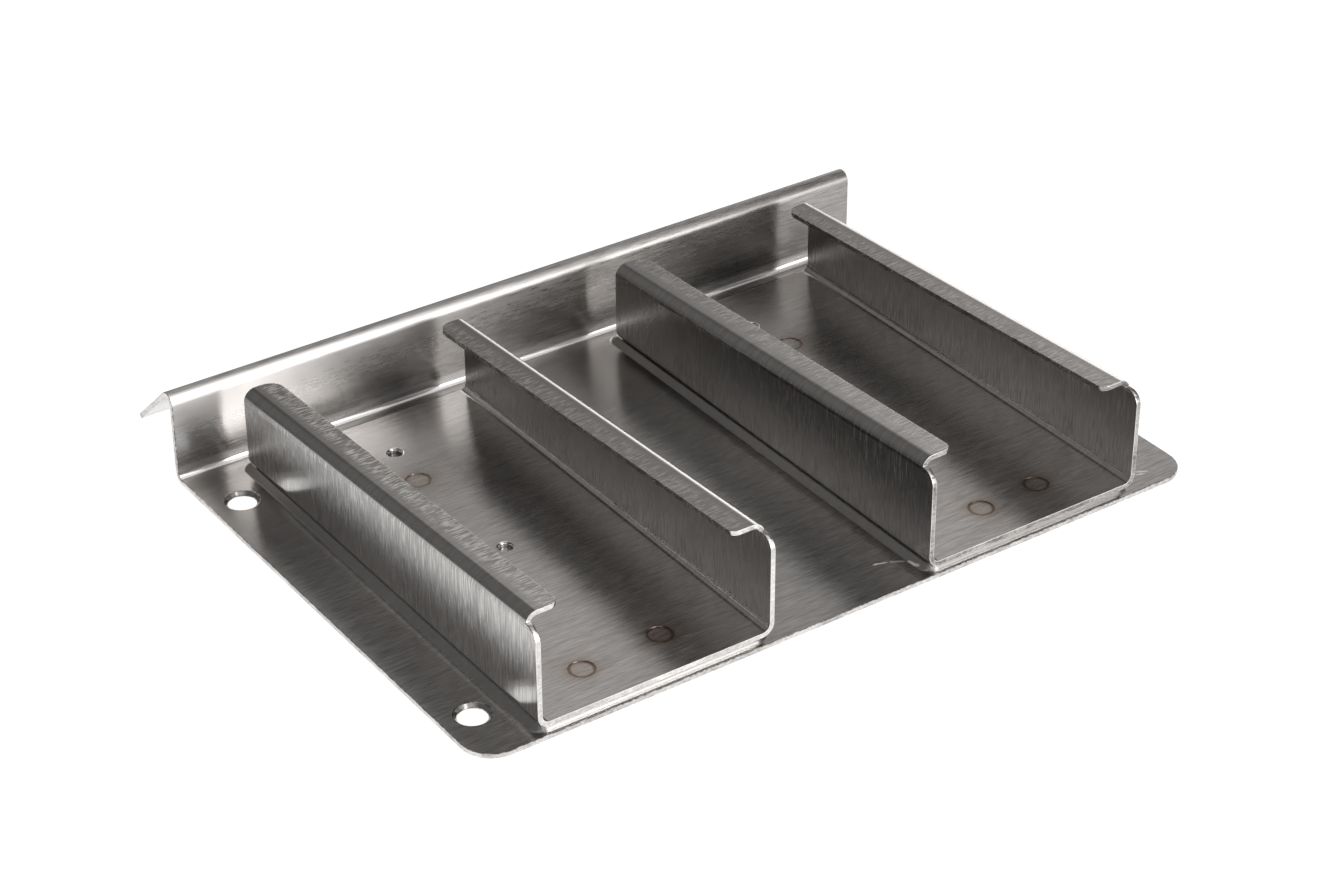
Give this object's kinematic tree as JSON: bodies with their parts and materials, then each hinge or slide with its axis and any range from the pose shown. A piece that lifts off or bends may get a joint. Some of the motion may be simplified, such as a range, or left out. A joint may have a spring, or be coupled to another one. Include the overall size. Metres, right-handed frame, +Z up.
{
  "type": "twin-channel mounting bracket",
  "caption": "Flat stainless base plate with a hooked rear flange, carrying two lipped, tapering channels that hold slide-in parts.",
  "frame": {"origin": "middle of the base plate's underside, halfway across it and halfway from its front edge to the back of its flange", "axes": "+X across the plate to the right, +Y back to the flange, +Z up"},
  "size_m": [0.19, 0.1465, 0.0288],
  "materials": {
    "plate_steel": "brushed across the plate",
    "channel_steel": "brushed across the channel"
  },
  "bodies": {
    "root": {"base_plate": "plate_steel", "left_channel": "channel_steel", "right_channel": "channel_steel"}
  },
  "joints": []
}
